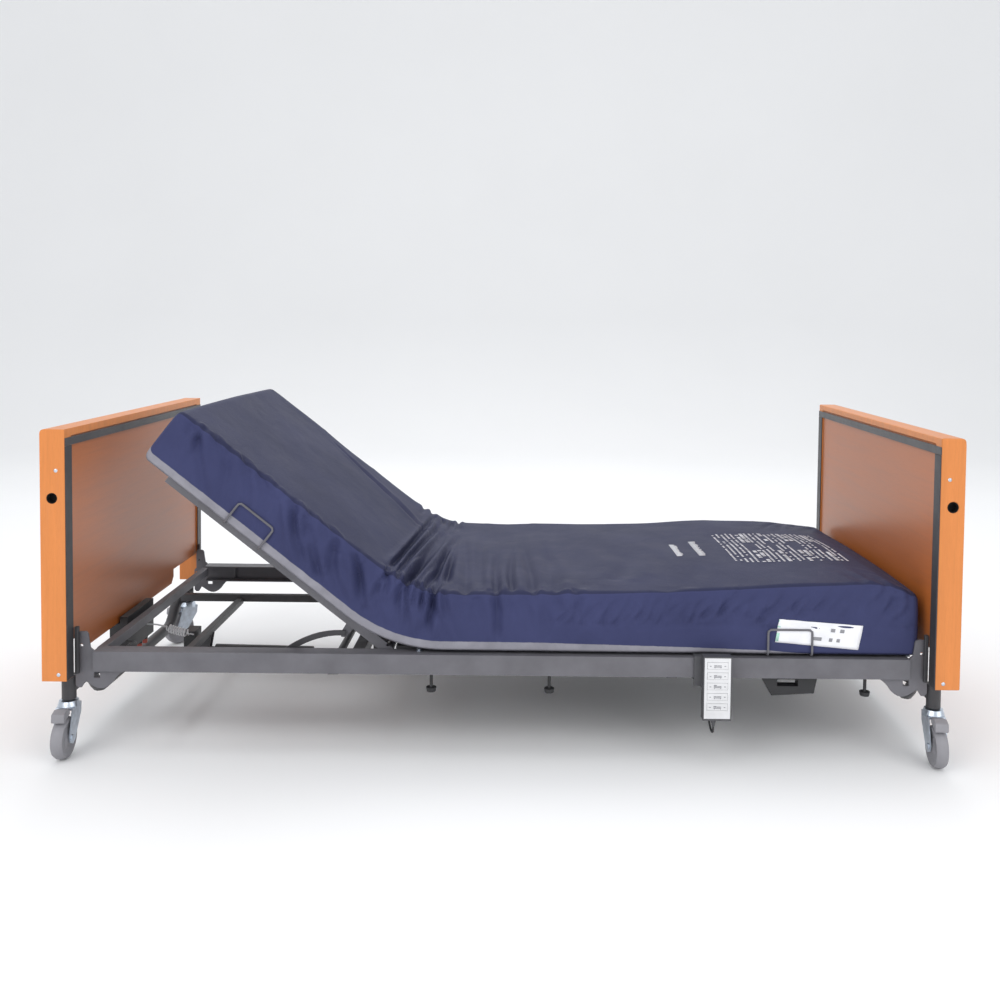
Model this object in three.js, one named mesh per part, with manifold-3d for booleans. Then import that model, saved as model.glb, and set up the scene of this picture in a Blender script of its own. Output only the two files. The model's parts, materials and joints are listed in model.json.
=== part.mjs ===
// Adjustable bed: wooden bed ends, a four-section mattress deck with a raised
// backrest, parallel-arm lift frames, braked castors, actuators, a hand control.
// Millimetres. +X runs from the head end to the foot end, +Z is up, the side
// with the hand control faces -Y. The origin is on the floor at the bed's centre.
// The deck is modelled flat, then the backrest group is turned to its rest angle.
import * as THREE from "three";
import { mergeVertices } from "three/addons/utils/BufferGeometryUtils.js";
import Module from "manifold-3d";

const wasm = await Module();
wasm.setup();

// ---- driving dimensions -------------------------------------------------
const HALF_LENGTH = 1093; // bed centre to the outer face of a bed end
const HALF_WIDTH = 500;
const PANEL_TOP = 800;
const PANEL_BOTTOM = 197;
const POST_DEPTH = 59; // bed-end frame, along X
const POST_WIDTH = 37; // bed-end post, along Y
const CAP_HEIGHT = 18;
const BOARD_FACE = 1037; // bed centre to the board's inner face
const BOARD_THICK = 20;
const BOARD_BOTTOM = 244;
const BOARD_TAB = [-385, 247]; // ends of the board's lower tab, along Y
const TAB_HEIGHT = 41;
const RAIL_END = 992;
const RAIL_OUT = 453; // bed centre to the rail's outer face
const RAIL_WIDTH = 45;
const RAIL_BOTTOM = 206;
const RAIL_TOP = 255;
const WALL = 3; // wall of the steel sections
const GAP = 0.3; // left between touching pieces
const BAR = 25; // square bar of the deck sections
const BAR_OUT = 405; // bed centre to the outside of a section's side bar
const BAR_Z = 249; // height of the section bars' middle and of the hinges
const DECK_TOP = BAR_Z + BAR / 2;
const BACK_HINGE_X = -280;
const THIGH_HINGE_X = -60;
const KNEE_X = 290;
const BACK_ANGLE = THREE.MathUtils.degToRad(38); // backrest at rest
const MATTRESS_HALF = 438;
const MATTRESS_BASE = DECK_TOP + 0.8;
const ARM_Y = 320; // lift arm centre
const ARM_Z = 178; // lift arm axis when the bed is lowest
const ARM_FOOT_X = 1030; // arm pivot at the castor frame
const ARM_DECK_X = 430; // arm pivot at the deck
const LINK_Y = -358;
const LINK_RISE = 22; // link pivots above the arm pivots
const CASTOR_X = 1056;
const CASTOR_Y = 438;
const WHEEL_R = 50;
const WHEEL_WIDTH = 28;
const CASTOR_TRAIL = 34;
const FORK_TOP = 133;
const MOTOR_PIVOT = [858, -10, 115]; // lift actuator's pivot on the arm frame
const LIFT_ROD_END = [360, -10, 108]; // lift actuator's pivot on the deck
const DECK_MOTOR_PIVOT = [332, 160]; // backrest and knee actuators, X and Z
const BACK_LEVER_Y = 60;
const KNEE_LEVER_Y = -90;
const BACK_LEVER = 90; // length of the lever under the backrest
const LEVER_MID = THREE.MathUtils.degToRad(35); // backrest angle where it hangs plumb
const HANDSET_X = 518.5;
const KEY_ROWS = [247, 222, 197, 172, 147];

// ---- colours and finishes -------------------------------------------------
const finish = (color, roughness, metalness) => ({ color, roughness, metalness });
const GREY_STEEL = finish(0x4a494d, 0.5, 0.3);
const DARK_STEEL = finish(0x2c2c2f, 0.55, 0.3);
const ZINC = finish(0xb9c2cc, 0.3, 0.9);
const WOOD = finish(0xd9803a, 0.45, 0.0);
const BOARD = finish(0xb5642f, 0.35, 0.0);
const NAVY = finish(0x262a52, 0.6, 0.0);
const BLACK = finish(0x151517, 0.5, 0.0);
const WHEEL_GREY = finish(0x5d5c60, 0.7, 0.0);
const LEAD_WHITE = finish(0xc9c9cf, 0.5, 0.0);
const KEY_WHITE = finish(0xe6e6ea, 0.5, 0.0);

// ---- small tools ------------------------------------------------------------
function toSolid(geometry) {
  const g = geometry.clone();
  g.deleteAttribute("normal");
  g.deleteAttribute("uv");
  const merged = mergeVertices(g, 1e-4);
  const vertProperties = new Float32Array(merged.attributes.position.array);
  const triVerts = new Uint32Array(merged.index.array);
  return new wasm.Manifold(new wasm.Mesh({ numProp: 3, vertProperties, triVerts }));
}

function toGeometry(solid) {
  const mesh = solid.getMesh();
  const g = new THREE.BufferGeometry();
  g.setAttribute("position", new THREE.BufferAttribute(new Float32Array(mesh.vertProperties), 3));
  g.setIndex(new THREE.BufferAttribute(new Uint32Array(mesh.triVerts), 1));
  return g;
}

const join = (...geometries) =>
  toGeometry(geometries.map(toSolid).reduce((a, b) => a.add(b)));

const cut = (body, ...tools) =>
  toGeometry(tools.map(toSolid).reduce((a, b) => a.subtract(b), toSolid(body)));

// A box from its low and high limits on each axis, in either order.
function box(x0, x1, y0, y1, z0, z1) {
  const g = new THREE.BoxGeometry(Math.abs(x1 - x0), Math.abs(y1 - y0), Math.abs(z1 - z0));
  return g.translate((x0 + x1) / 2, (y0 + y1) / 2, (z0 + z1) / 2);
}

function cylinderAt(axis, radius, length, x, y, z, sides = 20) {
  const g = new THREE.CylinderGeometry(radius, radius, length, sides);
  if (axis === "x") g.rotateZ(Math.PI / 2);
  if (axis === "z") g.rotateX(Math.PI / 2);
  return g.translate(x, y, z);
}

// An outline drawn in X and Z, given its thickness along Y.
function plateXZ(outline, y0, y1) {
  const shape = Array.isArray(outline)
    ? new THREE.Shape(outline.map(([x, z]) => new THREE.Vector2(x, z)))
    : outline;
  const low = Math.min(y0, y1);
  const high = Math.max(y0, y1);
  const g = new THREE.ExtrudeGeometry(shape, {
    depth: high - low, bevelEnabled: false, curveSegments: 6 });
  return g.rotateX(Math.PI / 2).translate(0, high, 0);
}

// An outline drawn in Y and Z, given its thickness along X.
function plateYZ(outline, x0, x1) {
  const shape = new THREE.Shape(outline.map(([y, z]) => new THREE.Vector2(y, z)));
  const g = new THREE.ExtrudeGeometry(shape, { depth: x1 - x0, bevelEnabled: false });
  return g.rotateX(Math.PI / 2).rotateZ(Math.PI / 2).translate(x0, 0, 0);
}

function roundShape(radius, sides) {
  const points = [];
  for (let i = 0; i < sides; i += 1) {
    const a = (i / sides) * 2 * Math.PI;
    points.push(new THREE.Vector2(radius * Math.cos(a), radius * Math.sin(a)));
  }
  return new THREE.Shape(points);
}

// A round bar along a smooth curve or a chain of straight and bent stretches.
function roundBar(path, radius, steps, sides = 10) {
  return new THREE.ExtrudeGeometry(roundShape(radius, sides), {
    steps, bevelEnabled: false, extrudePath: path });
}

// Straight stretches with bends of one radius at the inner corners.
function bentPath(points, bend) {
  const path = new THREE.CurvePath();
  const v = points.map((p) => new THREE.Vector3(...p));
  let from = v[0];
  for (let i = 1; i < v.length - 1; i += 1) {
    const into = v[i].clone().sub(v[i - 1]).normalize();
    const out = v[i + 1].clone().sub(v[i]).normalize();
    const a = v[i].clone().addScaledVector(into, -bend);
    const b = v[i].clone().addScaledVector(out, bend);
    path.add(new THREE.LineCurve3(from, a));
    path.add(new THREE.QuadraticBezierCurve3(a, v[i].clone(), b));
    from = b;
  }
  path.add(new THREE.LineCurve3(from, v[v.length - 1]));
  return path;
}

const bed = new THREE.Group();
bed.name = "bed";

function add(name, geometry, look, parent = bed) {
  const material = new THREE.MeshStandardMaterial(look);
  const mesh = new THREE.Mesh(geometry, material);
  mesh.name = name;
  parent.add(mesh);
  return mesh;
}

// A group turned about a line parallel to Y through (x, z); its children keep
// the coordinates of the flat deck.
function turnedGroup(x, z, angle) {
  const outer = new THREE.Group();
  outer.position.set(x, 0, z);
  outer.rotation.y = angle;
  const inner = new THREE.Group();
  inner.position.set(-x, 0, -z);
  outer.add(inner);
  bed.add(outer);
  return inner;
}

// ---- bed ends: a wooden frame of two posts and a cap, and a thin board -------
// side is -1 at the head and +1 at the foot.
function bedEnd(label, side) {
  const outer = side * HALF_LENGTH;
  const inner = side * (HALF_LENGTH - POST_DEPTH);
  const round = 12;
  const profile = new THREE.Shape();
  profile.moveTo(inner, PANEL_BOTTOM);
  profile.lineTo(outer, PANEL_BOTTOM);
  profile.lineTo(outer, PANEL_TOP - round);
  profile.quadraticCurveTo(outer, PANEL_TOP, outer - side * round, PANEL_TOP);
  profile.lineTo(inner, PANEL_TOP);
  profile.closePath();
  const blank = plateXZ(profile, -HALF_WIDTH, HALF_WIDTH);
  const innerY = HALF_WIDTH - POST_WIDTH;
  const middle = box(side * (HALF_LENGTH - POST_DEPTH - 5), side * (HALF_LENGTH + 5),
    -innerY, innerY, PANEL_BOTTOM - 5, PANEL_TOP - CAP_HEIGHT);
  const holes = [-1, 1].map((s) =>
    cylinderAt("y", 13, 30, side * 1065, s * (HALF_WIDTH - 10), 636, 20));
  add(`${label}_end_frame`, cut(blank, middle, ...holes), WOOD);

  const y = innerY - GAP;
  const top = PANEL_TOP - CAP_HEIGHT - GAP;
  const step = BOARD_BOTTOM + TAB_HEIGHT;
  const corner = 18;
  const [near, far] = BOARD_TAB;
  const x0 = side * BOARD_FACE;
  const x1 = side * (BOARD_FACE + BOARD_THICK);
  const outline = [
    [near + corner, BOARD_BOTTOM], [far - corner, BOARD_BOTTOM],
    [far, BOARD_BOTTOM + corner], [far, step], [y, step],
    [y, top], [-y, top], [-y, step], [near, step],
    [near, BOARD_BOTTOM + corner]];
  add(`${label}_end_board`, plateYZ(outline, Math.min(x0, x1), Math.max(x0, x1)), BOARD);
}
bedEnd("head", -1);
bedEnd("foot", 1);

// ---- side rails: a channel open inwards, with an end bracket at each end -------
function endBracket(end, y0, y1) {
  const e = (x) => end * x;
  const shape = new THREE.Shape();
  shape.moveTo(e(1036), 170);
  shape.lineTo(e(1036), 236);
  shape.lineTo(e(1029.5), 242);
  shape.lineTo(e(1029.5), 294);
  shape.quadraticCurveTo(e(1029.5), 302, e(1022), 302);
  shape.lineTo(e(1014), 302);
  shape.quadraticCurveTo(e(1004), 302, e(1004), 288);
  shape.lineTo(e(1000), 262);
  shape.lineTo(e(985), 250);
  shape.lineTo(e(900), 250);
  shape.lineTo(e(900), 212);
  shape.quadraticCurveTo(e(930), 206, e(948), 176);
  shape.quadraticCurveTo(e(972), 150, e(1000), 172);
  shape.lineTo(e(1012), 180);
  shape.lineTo(e(1022), 164);
  shape.lineTo(e(1030), 164);
  shape.closePath();
  const slot = box(e(1028), e(1034), y0 - 5, y1 + 5, 208, 230);
  const hook = box(e(977), e(992), y0 - 5, y1 + 5, 188, 202);
  const eye = cylinderAt("y", 4, 20, e(1021), (y0 + y1) / 2, 268, 10);
  return cut(plateXZ(shape, y0, y1), slot, hook, eye);
}

function sideRail(label, side) {
  const out = side * RAIL_OUT;
  const inn = side * (RAIL_OUT - RAIL_WIDTH);
  const web = side * (RAIL_OUT - WALL);
  const low = RAIL_BOTTOM + WALL;
  const high = RAIL_TOP - WALL;
  const outline = [[out, RAIL_BOTTOM], [inn, RAIL_BOTTOM], [inn, low], [web, low],
    [web, high], [inn, high], [inn, RAIL_TOP], [out, RAIL_TOP]];
  const channel = plateYZ(outline, -RAIL_END, RAIL_END);
  const y0 = side * 441;
  const y1 = side * 446.5;
  const brackets = [-1, 1].map((end) =>
    endBracket(end, Math.min(y0, y1), Math.max(y0, y1)));
  const ties = [-1, 1].map((end) =>
    box(end * 930, end * (RAIL_END - 2), side * 446, side * 451, 228, 240));
  add(`rail_${label}`, join(channel, ...brackets, ...ties), GREY_STEEL);
}
sideRail("near", -1);
sideRail("far", 1);

// ---- cross tubes of the deck ----------------------------------------------------
// A rectangular tube along Y with open ends.
function crossTube(x, halfX, z0, z1, halfY) {
  const solid = box(x - halfX, x + halfX, -halfY, halfY, z0, z1);
  const bore = box(x - halfX + WALL, x + halfX - WALL, -halfY - 5, halfY + 5,
    z0 + WALL, z1 - WALL);
  return cut(solid, bore);
}
const TUBE_HALF_Y = RAIL_OUT - RAIL_WIDTH - GAP;

add("end_tube_head", crossTube(-990, 10, 226, 251, TUBE_HALF_Y), GREY_STEEL);
add("end_tube_foot", crossTube(990, 10, 226, 251, TUBE_HALF_Y), GREY_STEEL);

// The lift cross tube carries the pivots of the arms and the link, and the lug
// that the lift actuator's rod pulls on.
function liftTube(label, side) {
  const e = (x) => side * x;
  const tube = crossTube(e(365), 15, 198, 232, TUBE_HALF_Y);
  const ear = [[e(352), 214], [e(352), 200], [e(418), 164], [e(444), 164], [e(444), 192],
    [e(400), 214]];
  const linkEar = [[e(352), 214], [e(352), 200], [e(420), 188], [e(442), 188], [e(442), 212],
    [e(400), 214]];
  const lug = [[e(352), 214], [e(348), 96], [e(372), 96], [e(378), 214]];
  const ears = [-1, 1].map((s) => plateXZ(ear, s * (ARM_Y + 13.5), s * (ARM_Y + 18)));
  const lugs = [-1, 1].map((s) => plateXZ(lug, -10 + s * 12, -10 + s * 17));
  const [bx, bz] = DECK_MOTOR_PIVOT;
  const motorEar = [[356, 220], [356, 202], [bx + 10, bz - 10], [bx - 8, bz - 10],
    [bx - 10, bz + 8], [344, 214]];
  const motorEars = side < 0 ? [] : [BACK_LEVER_Y, KNEE_LEVER_Y].flatMap((y) =>
    [-1, 1].map((s) => plateXZ(motorEar, y + s * 12, y + s * 17)));
  add(`lift_tube_${label}`, join(tube, ...ears, plateXZ(linkEar, LINK_Y + 11, LINK_Y + 15),
    ...lugs, ...motorEars), DARK_STEEL);
}
liftTube("head", -1);
liftTube("foot", 1);

// ---- deck sections: two side bars, cross slats and an end bar --------------------
function section(x0, x1, slats, slatWidth, extras = []) {
  const low = Math.min(x0, x1);
  const high = Math.max(x0, x1);
  const pieces = [-1, 1].map((s) =>
    box(low, high, s * BAR_OUT, s * (BAR_OUT - BAR), BAR_Z - BAR / 2, DECK_TOP));
  const pitch = (high - low - slatWidth) / (slats - 1);
  for (let i = 0; i < slats; i += 1) {
    const x = low + i * pitch;
    pieces.push(box(x, x + slatWidth, -BAR_OUT + 2, BAR_OUT - 2, DECK_TOP - 4, DECK_TOP));
  }
  return join(...pieces, ...extras);
}

const seatTies = [-240, -118].map((x) =>
  box(x, x + 22, -TUBE_HALF_Y, TUBE_HALF_Y, BAR_Z - BAR / 2, BAR_Z - 2));
add("seat_section", section(-262, -78, 3, 46, seatTies), DARK_STEEL);

// The actuator lever hangs from a section's hinge line as two plates.
function leverPlates(hingeX, length, angle, sign, y) {
  const tipX = hingeX + sign * length * Math.sin(angle);
  const tipZ = BAR_Z - length * Math.cos(angle);
  const outline = [[hingeX - 12, DECK_TOP - 4], [hingeX - 13, BAR_Z - 12], [tipX - 11, tipZ],
    [tipX - 7, tipZ - 9], [tipX + 7, tipZ - 9], [tipX + 11, tipZ],
    [hingeX + 13, BAR_Z - 12], [hingeX + 12, DECK_TOP - 4]];
  return [-1, 1].map((s) => plateXZ(outline, y + s * 12, y + s * 17));
}

const back = turnedGroup(BACK_HINGE_X, BAR_Z, BACK_ANGLE);
const backHingeTube = cylinderAt("y", 11, 2 * (BAR_OUT - 2), BACK_HINGE_X, 0, BAR_Z, 14);
const stayLug = plateXZ(
  [[-404, 240], [-400, 204], [-392, 198], [-384, 204], [-380, 240]], -391, -386);
add("backrest_section", section(-970, BACK_HINGE_X - 14, 8, 52, [
  backHingeTube, stayLug,
  box(BACK_HINGE_X - 20, BACK_HINGE_X, -BAR_OUT, -BAR_OUT + BAR, BAR_Z - 6, BAR_Z + 6),
  box(BACK_HINGE_X - 20, BACK_HINGE_X, BAR_OUT, BAR_OUT - BAR, BAR_Z - 6, BAR_Z + 6),
  ...leverPlates(BACK_HINGE_X, BACK_LEVER, LEVER_MID, 1, BACK_LEVER_Y),
]), GREY_STEEL, back);

const KNEE_LEVER = 90;
const KNEE_MID = THREE.MathUtils.degToRad(15);
add("thigh_section", section(THIGH_HINGE_X + 14, KNEE_X - 14, 4, 50, [
  cylinderAt("y", 11, 2 * (BAR_OUT - 2), THIGH_HINGE_X, 0, BAR_Z, 14),
  box(THIGH_HINGE_X, THIGH_HINGE_X + 20, -BAR_OUT, -BAR_OUT + BAR, BAR_Z - 6, BAR_Z + 6),
  box(THIGH_HINGE_X, THIGH_HINGE_X + 20, BAR_OUT, BAR_OUT - BAR, BAR_Z - 6, BAR_Z + 6),
  ...leverPlates(THIGH_HINGE_X, KNEE_LEVER, KNEE_MID, -1, KNEE_LEVER_Y),
]), DARK_STEEL);

add("leg_section", section(KNEE_X + 14, 970, 8, 52, [
  cylinderAt("y", 11, 2 * (BAR_OUT - 2), KNEE_X, 0, BAR_Z, 14),
  box(KNEE_X, KNEE_X + 20, -BAR_OUT, -BAR_OUT + BAR, BAR_Z - 6, BAR_Z + 6),
  box(KNEE_X, KNEE_X + 20, BAR_OUT, BAR_OUT - BAR, BAR_Z - 6, BAR_Z + 6),
]), DARK_STEEL);

// ---- mattress: one soft block on each section, with room for the bends -----------
// Each outline runs bottom left, bottom right, top right, top left.
function mattress(name, outline, parent) {
  add(name, plateXZ(outline, -MATTRESS_HALF, MATTRESS_HALF), NAVY, parent);
}
const BACK_THICK = 148;
const SEAT_THICK = 142;
const THIGH_THICK = 150;
const LEG_THICK = 166;
const lean = (thick, degrees) => thick * Math.tan(THREE.MathUtils.degToRad(degrees));
mattress("mattress_back", [[-1035.5, MATTRESS_BASE], [-287, MATTRESS_BASE],
  [-287 - lean(BACK_THICK, 36), MATTRESS_BASE + BACK_THICK],
  [-1033.5, MATTRESS_BASE + BACK_THICK]], back);
mattress("mattress_seat", [[-262, MATTRESS_BASE], [-67, MATTRESS_BASE],
  [-67 - lean(SEAT_THICK, 15.5), MATTRESS_BASE + SEAT_THICK],
  [-262 + lean(SEAT_THICK, 36), MATTRESS_BASE + SEAT_THICK]]);
mattress("mattress_thigh", [[-53, MATTRESS_BASE], [286, MATTRESS_BASE],
  [286, MATTRESS_BASE + THIGH_THICK],
  [-53 + lean(THIGH_THICK, 15.5), MATTRESS_BASE + THIGH_THICK]]);
mattress("mattress_leg", [[294, MATTRESS_BASE], [1012, MATTRESS_BASE],
  [1012, MATTRESS_BASE + LEG_THICK - 24], [990, MATTRESS_BASE + LEG_THICK],
  [294, MATTRESS_BASE + THIGH_THICK + 4]]);

// ---- wire retainers that keep the mattress on the deck ---------------------------
function retainer(name, x0, x1, side, parent) {
  const y0 = side * (BAR_OUT + GAP);
  const y1 = side * 444.5;
  const low = 258.8;
  const high = 323;
  const path = bentPath([[x0, y0, low], [x0, y1, low], [x0, y1, high], [x1, y1, high],
    [x1, y1, low], [x1, y0, low]], 9);
  add(name, roundBar(path, 2.9, 44, 8), GREY_STEEL, parent);
}
retainer("retainer_back_near", -790, -685, -1, back);
retainer("retainer_foot_near", 648, 755, -1, bed);

// ---- curved stay under the backrest ------------------------------------------------
// The stay is drawn in the raised pose. Its pin is at the backrest's lug.
const stayPin = new THREE.Vector2(-392 - BACK_HINGE_X, 209 - BAR_Z)
  .rotateAround(new THREE.Vector2(0, 0), -BACK_ANGLE)
  .add(new THREE.Vector2(BACK_HINGE_X, BAR_Z));
const staySteps = 12;
const stayTop = [];
const stayLow = [];
for (let i = 0; i <= staySteps; i += 1) {
  const t = i / staySteps;
  const x = stayPin.x + 6 - 168 * t;
  const z = stayPin.y + 3 + 14 * t - 74 * t * t;
  const half = 6 + 3 * t;
  stayTop.push([x, z + half]);
  stayLow.unshift([x, z - half]);
}
add("backrest_stay", plateXZ([...stayTop, ...stayLow], -400, -394), DARK_STEEL);

// ---- lift frames: arms, link, castor frame ---------------------------------------
function liftFrame(label, side) {
  const e = (x) => side * x;
  const arms = [-1, 1].map((s) =>
    box(e(ARM_FOOT_X + 8), e(ARM_DECK_X - 9), s * (ARM_Y - 10), s * (ARM_Y + 10),
      ARM_Z - 11, ARM_Z + 11));
  const cross = box(e(840), e(858), -ARM_Y, ARM_Y, 160, 178);
  const pivotTube = cylinderAt("y", 10, 2 * ARM_Y, e(ARM_DECK_X + 6), 0, ARM_Z, 12);
  const [mx, my, mz] = MOTOR_PIVOT;
  const clevis = [[e(mx + 12), 164], [e(mx + 10), mz - 8], [e(mx), mz - 13],
    [e(mx - 12), mz - 8], [e(mx - 22), 164]];
  const cheeks = [-1, 1].map((s) => plateXZ(clevis, my + s * 12, my + s * 17));
  add(`${label}_lift_frame`, join(...arms, cross, pivotTube, ...cheeks), DARK_STEEL);

  add(`${label}_lift_link`, box(e(ARM_FOOT_X + 8), e(ARM_DECK_X - 8), LINK_Y - 8, LINK_Y + 8,
    ARM_Z + LINK_RISE - 7, ARM_Z + LINK_RISE + 7), DARK_STEEL);

  const path = bentPath([[e(CASTOR_X), -CASTOR_Y, 160], [e(CASTOR_X), -322, 160],
    [e(CASTOR_X), -268, 100], [e(CASTOR_X), 268, 100], [e(CASTOR_X), 322, 160],
    [e(CASTOR_X), CASTOR_Y, 160]], 26);
  const beam = roundBar(path, 16, 44, 12);
  const sleeves = [-1, 1].map((s) =>
    cylinderAt("z", 17, 58, e(CASTOR_X), s * CASTOR_Y, 163.5, 20));
  const ear = [[e(CASTOR_X), 148], [e(1016), 164], [e(1016), 192], [e(1030), 194],
    [e(CASTOR_X), 172]];
  const ears = [-1, 1].map((s) => plateXZ(ear, s * (ARM_Y + 13.5), s * (ARM_Y + 18)));
  const linkEar = [[e(CASTOR_X), 150], [e(1018), 188], [e(1018), 210], [e(1032), 210],
    [e(CASTOR_X), 174]];
  add(`${label}_castor_frame`,
    join(beam, ...sleeves, ...ears, plateXZ(linkEar, LINK_Y - 16, LINK_Y - 11)), DARK_STEEL);
}
liftFrame("head", -1);
liftFrame("foot", 1);

// ---- castors -----------------------------------------------------------------------
// Local frame: swivel axis at the origin, the wheel trails along +X.
function castor(label, x, y, degrees) {
  const place = new THREE.Group();
  place.position.set(x, y, 0);
  place.rotation.z = THREE.MathUtils.degToRad(degrees);
  bed.add(place);
  const crown = new THREE.CylinderGeometry(22, 27, 16, 24).rotateX(Math.PI / 2)
    .translate(2, 0, 124);
  const stem = cylinderAt("z", 10, 10, 0, 0, 134, 12).translate(0, 0, -6.5);
  const leg = [[-22, 118], [-20, 96], [18, 40], [30, 34], [46, 42], [50, 56], [38, 92],
    [30, 118]];
  const legs = [-1, 1].map((s) => plateXZ(leg, s * 18, s * 21));
  const bridge = box(-22, 30, -21, 21, 114, 120);
  const axle = [-1, 1].map((s) => cylinderAt("y", 8, 5, CASTOR_TRAIL, s * 21, WHEEL_R, 12));
  add(`${label}_castor_fork`, join(crown, stem, bridge, ...legs, ...axle), ZINC, place);

  const r = WHEEL_R;
  const w = WHEEL_WIDTH / 2;
  const profile = [[0, -w - 2], [12, -w - 2], [14, -w + 2], [r - 16, -w + 2], [r - 12, -w],
    [r - 5, -w], [r - 1, -w + 6], [r, 0], [r - 1, w - 6], [r - 5, w], [r - 12, w],
    [r - 16, w - 2], [14, w - 2], [12, w + 2], [0, w + 2]];
  const wheel = new THREE.LatheGeometry(profile.map(([a, b]) => new THREE.Vector2(a, b)), 32);
  add(`${label}_castor_wheel`, wheel.translate(CASTOR_TRAIL, 0, WHEEL_R), WHEEL_GREY, place);

  const pedal = [[33, 108], [44, 105], [66, 96], [70, 100], [68, 118], [50, 124], [33, 120]];
  const lever = plateXZ(pedal, -16, 16);
  add(`${label}_castor_pedal`, lever, WHEEL_GREY, place);
}
castor("head_near", -CASTOR_X, -CASTOR_Y, 272);
castor("head_far", -CASTOR_X, CASTOR_Y, 228);
castor("foot_near", CASTOR_X, -CASTOR_Y, 266);
castor("foot_far", CASTOR_X, CASTOR_Y, 312);

// ---- actuators ------------------------------------------------------------------------
// A housing of motor block and open outer tube, and a rod that slides in the tube.
// from is the housing's pivot, to is the rod's pivot, both [x, z] at height y.
function actuator(label, from, to, y, motor, parent = bed) {
  const dx = to[0] - from[0];
  const dz = to[1] - from[1];
  const length = Math.hypot(dx, dz);
  const place = new THREE.Group();
  place.position.set(from[0], y, from[1]);
  place.rotation.y = -Math.atan2(dz, dx);
  parent.add(place);
  const tubeEnd = length * 0.62;
  const tube = cylinderAt("x", 19, tubeEnd - 30, (tubeEnd + 30) / 2, 0, 0, 16);
  const eye = cylinderAt("y", 11, 16, 0, 0, 0, 16);
  const neck = box(-24, 36, -7, 7, -10, 10);
  const bore = cylinderAt("x", 12.5, tubeEnd, tubeEnd / 2 + 45, 0, 0, 16);
  add(`${label}_actuator_body`, cut(join(tube, eye, neck, motor), bore), BLACK, place);
  const rodStart = length * 0.42;
  const rod = cylinderAt("x", 11, length - rodStart, (length + rodStart) / 2, 0, 0, 16);
  const tip = cylinderAt("y", 12, 14, length, 0, 0, 16);
  add(`${label}_actuator_rod`, join(rod, tip), ZINC, place);
}
const [mx, my, mz] = MOTOR_PIVOT;
const [px, , pz] = LIFT_ROD_END;
actuator("head_lift", [-mx, mz], [-px, pz], my, box(-53, -21, -28, 28, -30, 62));
actuator("foot_lift", [mx, mz], [px, pz], my, box(-53, -21, -28, 28, -62, 30));

const leverAngle = BACK_ANGLE - LEVER_MID;
const backTip = [BACK_HINGE_X - BACK_LEVER * Math.sin(leverAngle),
  BAR_Z - BACK_LEVER * Math.cos(leverAngle)];
actuator("back", DECK_MOTOR_PIVOT, backTip, BACK_LEVER_Y, box(20, 95, -32, 32, -68, 18));
const kneeTip = [THIGH_HINGE_X - KNEE_LEVER * Math.sin(KNEE_MID),
  BAR_Z - KNEE_LEVER * Math.cos(KNEE_MID)];
actuator("knee", DECK_MOTOR_PIVOT, kneeTip, KNEE_LEVER_Y, box(20, 95, -32, 32, -68, 18));

// ---- control box and its curly lead to the head lift motor -------------------------------
const boxBody = join(box(-1058, -1010, -190, 0, 165, 243.5),
  box(-1030.5, -1010, -190, 0, 240, 262),
  ...[-150, -110, -70, -30].map((y) => cylinderAt("z", 8, 14, -1024, y, 161, 12)));
add("control_box", boxBody, BLACK);
const leadPath = new THREE.CatmullRomCurve3([
  new THREE.Vector3(-1009.5, -52, 202), new THREE.Vector3(-985, -52, 201),
  new THREE.Vector3(-960, -54, 197), new THREE.Vector3(-925, -60, 187),
  new THREE.Vector3(-888, -62, 180), new THREE.Vector3(-880, -48, 172)]);
add("control_lead", roundBar(leadPath, 7.5, 20, 8), LEAD_WHITE);

// ---- hand control hooked over the near rail ------------------------------------------------
const handsetBody = box(HANDSET_X - 34, HANDSET_X + 34, -486, -460, 113, 268);
const keyPockets = KEY_ROWS.map((z) =>
  box(HANDSET_X - 26, HANDSET_X + 26, -490, -481.5, z - 9.5, z + 9.5));
const hook = [box(HANDSET_X - 52, HANDSET_X + 20, -461, -454, 188, 260.5),
  box(HANDSET_X - 52, HANDSET_X + 20, -455, -416, 256, 260.5)];
const relief = new THREE.CylinderGeometry(7.5, 3.2, 20, 14).rotateX(Math.PI / 2)
  .translate(HANDSET_X - 6, -472, 104);
add("handset", join(cut(handsetBody, ...keyPockets), ...hook, relief), DARK_STEEL);
KEY_ROWS.forEach((z, i) => {
  add(`handset_key_${i + 1}`,
    box(HANDSET_X - 24.5, HANDSET_X + 24.5, -488, -484, z - 8, z + 8), KEY_WHITE);
});

// The hand control's lead: down out of the relief, up behind the handset, along
// the inside of the near rail and across to the control box.
const cordPoints = [
  [512.5, -472, 93.7], [512.5, -471.4, 86], [512.5, -467, 79], [512, -458, 75.5],
  [511, -448, 79], [509, -442, 90], [506, -438, 110], [500, -434, 145], [490, -424, 178],
  [474, -404, 189], [450, -388, 190], [420, -382, 189], [365, -380, 188], [320, -382, 191],
  [290, -384, 203], [268, -390, 216], [245, -404, 223], [215, -418, 222], [180, -428, 220],
  [120, -430, 219],
  [-150, -430, 219], [-350, -430, 219], [-550, -430, 219], [-750, -430, 219],
  [-880, -429, 220], [-930, -418, 221], [-956, -394, 221], [-964, -360, 221],
  [-966, -320, 221], [-966, -280, 220], [-967, -255, 216], [-970, -236, 209],
  [-978, -218, 203], [-990, -202, 199], [-1009.5, -190, 196]];
const cordPath = new THREE.CatmullRomCurve3(cordPoints.map((p) => new THREE.Vector3(...p)),
  false, "centripetal");
add("handset_cord", roundBar(cordPath, 2.6, 80, 8), BLACK);

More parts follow.
